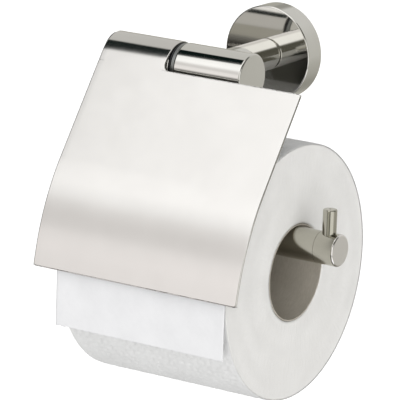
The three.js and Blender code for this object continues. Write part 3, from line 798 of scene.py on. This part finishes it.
def make_roll():
    """Wound paper: an embossed outside, soft edges, and side faces that show the layers."""
    low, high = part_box("paper_roll")
    radius = radius_of("paper_roll", "z")
    bore = radius_of("roll_core", "z") + GAP
    rim = radius - ROLL_EDGE
    around, side_rings, edge_steps, columns = 640, 34, 5, 160
    bm = bmesh.new()
    rows = []

    def ring_at(x, r, shape):
        """Row of vertices round the roll; shape gives its offsets along x and outwards at an angle."""
        row = []
        for k in range(around):
            t = TAU * k / around
            dx, dr = shape(t)
            row.append(bm.verts.new(around_roll(x + dx, r + dr, t)))
        rows.append(row)

    def side(sign, x, r):
        """A side face: fine layer ridges and a little waviness, always inside the CAD width."""
        phase = TAU * ((r / LAYER) % 1.0)
        fade = min(1.0, (rim - r) / SIDE_FADE)

        def shape(t):
            spiral = math.cos(phase + t)
            wave = noise.noise(Vector((math.cos(t) * 2.2, math.sin(t) * 2.2, r * 160 + sign)))
            fine = noise.noise(Vector((math.cos(t) * r * 700, math.sin(t) * r * 700, sign * 5.0)))
            inward = (0.10 * (1 + spiral) + 0.22 * (1 + wave) + 0.10 * (1 + fine)) * MM
            return -sign * (SIDE_SUNK + fade * (inward - SIDE_SUNK)), 0.0
        ring_at(x, r, shape)

    radii = [bore + (rim - bore) * k / side_rings for k in range(side_rings + 1)]
    for r in radii:
        side(-1, low.x, r)
    for k in range(1, edge_steps):
        a = math.pi / 2 * k / edge_steps
        x = low.x + ROLL_EDGE - ROLL_EDGE * math.cos(a)
        ring_at(x, rim + ROLL_EDGE * math.sin(a), lambda t: (SIDE_SUNK, -ROLL_SUNK))
    body_left, body_right = low.x + ROLL_EDGE + SIDE_SUNK, high.x - ROLL_EDGE - SIDE_SUNK
    for j in range(columns + 1):
        x = body_left + (body_right - body_left) * j / columns
        fade = min(1.0, (x - body_left) / EMBOSS_FADE, (body_right - x) / EMBOSS_FADE)

        def surface(t, x=x, fade=fade):
            press = EMBOSS_DEPTH * emboss(x, t * radius)
            sway = noise.noise(Vector((x * 25, math.cos(t) * 1.5, math.sin(t) * 1.5)))
            return 0.0, -ROLL_SUNK - fade * (press - ROLL_SUNK + 0.06 * MM * (1 + sway))
        ring_at(x, radius, surface)
    for k in range(edge_steps - 1, 0, -1):
        a = math.pi / 2 * k / edge_steps
        x = high.x - ROLL_EDGE + ROLL_EDGE * math.cos(a)
        ring_at(x, rim + ROLL_EDGE * math.sin(a), lambda t: (-SIDE_SUNK, -ROLL_SUNK))
    for r in reversed(radii):
        side(1, high.x, r)
    count = len(rows)
    for i in range(count):
        n = (i + 1) % count
        on_side = i < side_rings or i >= count - side_rings - 1
        for k in range(around):
            m = (k + 1) % around
            face = bm.faces.new((rows[i][k], rows[i][m], rows[n][m], rows[n][k]))
            face.material_index = 1 if on_side else 0
    obj = new_object("paper_roll_wound", bm, 180)
    obj.data.materials.append(tissue)
    obj.data.materials.append(tissue_side)
    return dress(obj, "paper_roll", "roll")


def make_core():
    """Cardboard tube with the groove of its spiral seam inside and slightly rough ends."""
    low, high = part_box("roll_core")
    outer = radius_of("roll_core", "z")
    inner = outer - CORE_WALL
    outer_sunk = 0.05 * MM
    rough = 0.12 * MM
    around, along = 192, 72
    turns = 1.35  # of the seam over the core's length
    bm = bmesh.new()
    rows = []

    def row_at(x, r, groove, jitter):
        row = []
        for k in range(around):
            t = TAU * k / around
            rr = r
            if groove:
                wind = (t / TAU + turns * (x - low.x) / (high.x - low.x)) % 1.0
                rr += SEAM_GROOVE * max(0.0, 1 - abs(wind - 0.5) * 90)
                rr += CORE_UNEVEN * noise.noise(Vector((x * 300, math.cos(t) * 8, math.sin(t) * 8)))
            dx = jitter * noise.noise(Vector((math.cos(t) * 9, math.sin(t) * 9, x * 50)))
            row.append(bm.verts.new(around_roll(x + dx, rr, t)))
        rows.append(row)

    row_at(low.x + rough, outer - outer_sunk, False, rough)
    row_at(high.x - rough, outer - outer_sunk, False, rough)
    for j in range(along + 1):
        x = high.x - rough - (high.x - low.x - 2 * rough) * j / along
        row_at(x, inner, True, rough if j in (0, along) else 0.0)
    count = len(rows)
    for i in range(count):
        n = (i + 1) % count
        for k in range(around):
            m = (k + 1) % around
            bm.faces.new((rows[i][k], rows[i][m], rows[n][m], rows[n][k]))
    obj = new_object("roll_core_tube", bm, 40, board)
    return dress(obj, "roll_core", "roll")


def make_loose_sheet():
    """The free end of the paper: embossed, a little wavy, torn along its perforation."""
    low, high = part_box("loose_sheet")
    thickness = 0.22 * MM
    inset = 0.04 * MM
    emboss_depth = 0.05 * MM
    tooth_pitch, tooth_depth, fray = 4.4 * MM, 0.80 * MM, 0.12 * MM
    width, length = high.x - low.x, high.z - low.z
    across, down = 132, 48
    bm = bmesh.new()
    grid = {}
    for i in range(down + 1):
        part = i / down
        for j in range(across + 1):
            x = low.x + width * j / across
            z = high.z - length * part
            if i == down:
                tooth = abs((x / tooth_pitch) % 1.0 - 0.5) * 2
                torn = 1 + noise.noise(Vector((x * 900, 3.0, 0)))
                z += tooth_depth * max(0.0, tooth - 0.45) + fray * torn
            sway = noise.noise(Vector((x * 22, part * 1.2, 4.4)))
            y = low.y + inset + (0.10 + 0.06 * sway) * part * MM
            press = emboss_depth * emboss(x, z)
            for layer, offset in ((0, 0.0), (1, thickness)):
                grid[layer, i, j] = bm.verts.new((x, y + press + offset, z))
    for i in range(down):
        for j in range(across):
            ring = [(i, j), (i, j + 1), (i + 1, j + 1), (i + 1, j)]
            bm.faces.new([grid[(0, *c)] for c in ring])
            bm.faces.new([grid[(1, *c)] for c in ring[::-1]])
    border = [(0, j) for j in range(across)] + [(i, across) for i in range(down)]
    border += [(down, j) for j in range(across, 0, -1)] + [(i, 0) for i in range(down, 0, -1)]
    for a, b in zip(border, border[1:] + border[:1]):
        bm.faces.new((grid[(0, *a)], grid[(0, *b)], grid[(1, *b)], grid[(1, *a)]))
    obj = new_object("loose_sheet_paper", bm, 180, loose_tissue)
    dress(obj, "loose_sheet", "holder")
    return obj


make_rosette()
make_arm()
make_top_tube()
make_axle_plug()
for washer in ("hinge_washer_left", "hinge_washer_right"):
    make_washer(washer)
make_leg()
for screw in ("leg_screw_upper", "leg_screw_lower"):
    make_leg_screw(screw)
make_spindle_tube()
make_spindle_foot()
make_spindle_tip()
make_stop_pin()
make_cover()
make_roll()
make_core()
make_loose_sheet()

# Hidden or nearly hidden pieces keep the CAD's own meshes.
kept = {
    "wall_plate": plate,
    "rosette_grub_screw": turned,
    "arm_bolt": turned,
    "hinge_axle": turned,
    "hinge_bush_left": nylon,
    "hinge_bush_right": nylon,
}
for name, material in kept.items():
    mesh = nodes[name].data
    mesh.materials.clear()
    mesh.materials.append(material)

# ---------------------------------------------------------------- stage, light and camera
FLOOR_HALF, FLOOR_DROP = 6.0, 0.9  # metres; the drop is below the holder
floor_mesh = bmesh.new()
bmesh.ops.create_grid(floor_mesh, x_segments=1, y_segments=1, size=FLOOR_HALF)
bmesh.ops.translate(floor_mesh, verts=floor_mesh.verts, vec=(0, 0, cad_bounds[0][2] - FLOOR_DROP))
floor = new_object("floor", floor_mesh)
floor_paint, _, floor_shader = new_material("floor_paint")
floor_shader.inputs["Base Color"].default_value = (0.9, 0.9, 0.9, 1)
floor_shader.inputs["Roughness"].default_value = 0.9
floor_shader.inputs["Specular IOR Level"].default_value = 0.0
floor_shader.inputs["Emission Color"].default_value = (1, 1, 1, 1)
floor_shader.inputs["Emission Strength"].default_value = 0.6
floor.data.materials.append(floor_paint)
floor.visible_glossy = False
floor.visible_diffuse = False
floor.visible_shadow = False

# The studio: what the polished steel mirrors, and a softer version of it that lights the paper.
world = bpy.data.worlds.new("studio")
bpy.context.scene.world = world
world.use_nodes = True
tree = world.node_tree
background = tree.nodes["Background"]


def math_node(operation, *values):
    """Maths on the world's values, each a node's output or a number."""
    item = tree.nodes.new("ShaderNodeMath")
    item.operation = operation
    for socket, value in zip(item.inputs, values):
        if isinstance(value, (int, float)):
            socket.default_value = value
        else:
            tree.links.new(value, socket)
    return item.outputs["Value"]


def step_up(value, middle, soft):
    """Smooth 0 to 1 as the value passes the middle."""
    item = tree.nodes.new("ShaderNodeMapRange")
    item.interpolation_type = "SMOOTHSTEP"
    item.inputs["From Min"].default_value = middle - soft
    item.inputs["From Max"].default_value = middle + soft
    tree.links.new(value, item.inputs["Value"])
    return item.outputs["Result"]


def window(value, low, high, soft):
    """1 between two values, 0 outside them, with soft ends."""
    above = step_up(value, low, soft)
    below = math_node("SUBTRACT", 1.0, step_up(value, high, soft))
    return math_node("MULTIPLY", above, below)


def mix_colour(factor, under, over):
    """Mix of two colours, each a node's output or a plain (r, g, b)."""
    item = tree.nodes.new("ShaderNodeMix")
    item.data_type = "RGBA"
    tree.links.new(factor, item.inputs["Factor"])
    for value, socket in ((under, item.inputs["A"]), (over, item.inputs["B"])):
        if isinstance(value, tuple):
            socket.default_value = (*value, 1)
        else:
            tree.links.new(value, socket)
    return item.outputs["Result"]


direction = tree.nodes.new("ShaderNodeTexCoord").outputs["Generated"]
parts = tree.nodes.new("ShaderNodeSeparateXYZ")
tree.links.new(direction, parts.inputs["Vector"])
to_right, to_back, upward = parts.outputs
to_front = math_node("MULTIPLY", to_back, -1.0)
to_left = math_node("MULTIPLY", to_right, -1.0)
DEGREES = 180 / math.pi
height = math_node("MULTIPLY", math_node("ARCSINE", upward), DEGREES)
# 0 towards the front, growing towards +X
bearing = math_node("MULTIPLY", math_node("ARCTAN2", to_right, to_front), DEGREES)
# about the X axis: 0 towards the front, growing upwards
around = math_node("MULTIPLY", math_node("ARCTAN2", upward, to_front), DEGREES)


def warm(level, amount=0.0):
    """A grey a little towards yellow."""
    return (level * (1 + 0.02 * amount), level, level * (1 - 0.10 * amount))


def by_value(value, low, high, stops):
    """Colour by a value from low to high; stops lists (value, colour)."""
    item = tree.nodes.new("ShaderNodeMapRange")
    item.inputs["From Min"].default_value = low
    item.inputs["From Max"].default_value = high
    tree.links.new(value, item.inputs["Value"])
    stops = [((at - low) / (high - low), level) for at, level in stops]
    return ramp(tree, item.outputs["Result"], stops)


def scaled(colour, factor):
    """The colour times a node's value."""
    item = tree.nodes.new("ShaderNodeVectorMath")
    item.operation = "SCALE"
    tree.links.new(colour, item.inputs[0])
    tree.links.new(factor, item.inputs["Scale"])
    return item.outputs["Vector"]


def patch(under, over, *masks):
    """The second colour over the first, where all masks are 1."""
    factor = masks[0]
    for mask in masks[1:]:
        factor = math_node("MULTIPLY", factor, mask)
    return mix_colour(factor, under, over)


# The reflections. Angles are in degrees, and the last value of a window is its softness.
# the room behind the holder, darker towards the floor
studio = by_value(height, -90, 90, [
    (-60, warm(0.16, 1.5)), (-34, warm(0.30, 1.2)), (-24, warm(0.50, 0.8)), (-10, warm(0.62, 0.6)),
    (32, warm(0.66, 0.4)), (50, warm(0.60, 0.4)), (90, warm(0.6, 0.4)),
])
# its right side
right_wall = by_value(height, -90, 90, [
    (-60, warm(0.12, 1.5)), (-31, warm(0.32, 1.2)), (-20, warm(0.45, 0.9)), (-8, warm(0.55, 0.7)),
    (12, warm(0.58, 0.6)), (26, warm(0.62, 0.5)), (60, warm(0.5, 0.5)),
])
studio = patch(studio, right_wall, window(bearing, 105, 158, 8))
# front: a bright overhead screen over a dim low front
front_wall = by_value(height, -90, 90, [
    (-60, warm(0.05, 1.5)), (-34, warm(0.07, 1.5)), (-22, warm(0.14, 1.2)), (-16, warm(0.55, 0.9)),
    (0, warm(0.55, 0.9)), (12, warm(0.62, 0.7)), (22, warm(0.80, 0.4)), (28, warm(1.2, 0.2)),
    (60, warm(1.25, 0.1)), (80, warm(0.8, 0.3)),
])
studio = patch(studio, front_wall, window(bearing, -110, 98, 8))
# dark stretch to the right of the camera and over it
studio = patch(studio, warm(0.08, 2), window(bearing, 22, 108, 4), window(height, 25, 60, 4))
studio = patch(studio, warm(0.10, 2), window(bearing, 23, 36, 3), window(height, -26, 40, 4))
# low strip light on the right
studio = patch(studio, warm(1.05, 0.3), window(bearing, 38, 92, 3), window(height, -24, 21, 4))
# low board and dim gap on the right, which the cover's right edge mirrors
studio = patch(studio, warm(1.15, 0.2), window(bearing, 45, 125, 5), window(height, -64, -27, 4))
studio = patch(studio, warm(0.15, 1), window(bearing, 94, 136, 4), window(height, -7, 60, 3))
# the left half: one long screen bent round the holder's width, dimmer towards its far end
left_screen = by_value(around, -180, 180, [
    (-180, warm(0.65, 0.4)), (-150, warm(0.30, 0.8)), (-90, warm(0.05, 1.2)), (-40, warm(0.08, 1)),
    (-15, warm(0.06, 1)), (-6, warm(0.10, 1)), (-2, (0.34, 0.33, 0.32)), (2, (0.76, 0.74, 0.72)),
    (5.5, (0.985, 0.955, 0.94)), (11, (0.97, 0.94, 0.925)), (16, (0.935, 0.91, 0.895)),
    (21, (0.80, 0.78, 0.765)), (26, (0.78, 0.76, 0.745)), (31, (0.87, 0.855, 0.84)),
    (36, warm(1.06, 0.1)), (42, warm(1.19, 0.1)), (50, warm(1.17, 0.1)), (58, warm(1.13, 0.1)),
    (75, warm(1.0, 0.2)), (92, warm(0.605, 0.5)), (150, warm(0.61, 0.5)), (180, warm(0.65, 0.4)),
])
falloff = math_node("MULTIPLY_ADD", to_right, 1.0, 1.535)
studio = patch(studio, scaled(left_screen, falloff), step_up(to_left, 0.32, 0.10))
studio = patch(studio, warm(0.18, 1), step_up(to_left, 0.74, 0.09))
# dimmer wall behind on the left, which the top of the arm mirrors
studio = patch(studio, warm(0.42, 1.2), window(bearing, -162, -142, 3), window(height, -40, 15, 5))
studio = patch(studio, warm(0.34, 1.0), window(bearing, -161, -149, 3), window(height, 12, 27, 4))
# the dark card over the screen, its near edge soft and slanting
slope = math_node("MULTIPLY", math_node("ADD", to_right, 0.54), 215.0)
slant = math_node("SUBTRACT", around, slope)
card = by_value(slant, 44, 84, [
    (44, 0.0), (59.5, 0.0), (61.8, 0.04), (62.8, 0.16), (63.8, 0.50),
    (65, 0.78), (67, 0.88), (70, 0.94), (73, 0.98), (76, 1.0),
])
card_top = math_node("SUBTRACT", 1.0, step_up(around, 97, 2.5))
card = math_node("MULTIPLY", card, card_top)
studio = patch(studio, (0.004, 0.009, 0.008), card, step_up(to_left, 0.25, 0.10))

# What the paper sees: soft light from the front, the right and above, little from the wall side.
soft_light = by_value(height, -90, 90, [
    (-90, 0.33), (-40, 0.72), (-5, 1.22), (15, 1.10), (35, 0.50), (70, 0.62), (90, 0.80),
])
from_right = by_value(height, -90, 90, [(-90, 0.95), (-5, 1.62), (30, 2.0), (90, 2.0)])
from_left = (0.34, 0.34, 0.33)
from_behind = by_value(height, -90, 90, [(-90, 0.36), (-30, 0.42), (-8, 0.40), (10, 0.12), (90, 0.10)])
soft_light = patch(soft_light, from_right, step_up(to_right, 0.35, 0.6))
soft_light = patch(soft_light, from_left, step_up(to_left, 0.78, 0.12))
soft_light = patch(soft_light, from_behind, step_up(to_back, 0.05, 0.55))

# The camera sees a plain white ground.
rays = tree.nodes.new("ShaderNodeLightPath")
light = mix_colour(rays.outputs["Is Diffuse Ray"], studio, soft_light)
light = mix_colour(rays.outputs["Is Camera Ray"], light, (1.0, 1.0, 1.0))
tree.links.new(light, background.inputs["Color"])

bpy.context.scene.view_settings.view_transform = "Standard"

# The camera, as fitted to the photograph: the distance is from the target, which lies off the centre.
AZIMUTH, ELEVATION, ROLL = math.radians(32.73), math.radians(14.35), math.radians(2.03)
TARGET = Vector((-0.040, -0.060, -0.060))
DISTANCE, SIDE, RISE = 1.77288, 0.02821, -0.0125
FOCAL_PIXELS, PICTURE_PIXELS, SENSOR = 3550.5, 400, 36.0
back = Vector((
    math.sin(AZIMUTH) * math.cos(ELEVATION),
    -math.cos(AZIMUTH) * math.cos(ELEVATION),
    math.sin(ELEVATION),
))
level = Vector((math.cos(AZIMUTH), math.sin(AZIMUTH), 0))
upright = back.cross(level)
right = level * math.cos(ROLL) + upright * math.sin(ROLL)
up = -level * math.sin(ROLL) + upright * math.cos(ROLL)
camera_data = bpy.data.cameras.new("camera")
camera_data.sensor_width = SENSOR
camera_data.lens = FOCAL_PIXELS * SENSOR / PICTURE_PIXELS
camera_data.clip_end = 50
camera = bpy.data.objects.new("camera", camera_data)
bpy.context.scene.collection.objects.link(camera)
place = Matrix.Translation(TARGET + back * DISTANCE + right * SIDE + up * RISE)
camera.matrix_world = place @ Matrix((right, up, back)).transposed().to_4x4()
bpy.context.scene.camera = camera
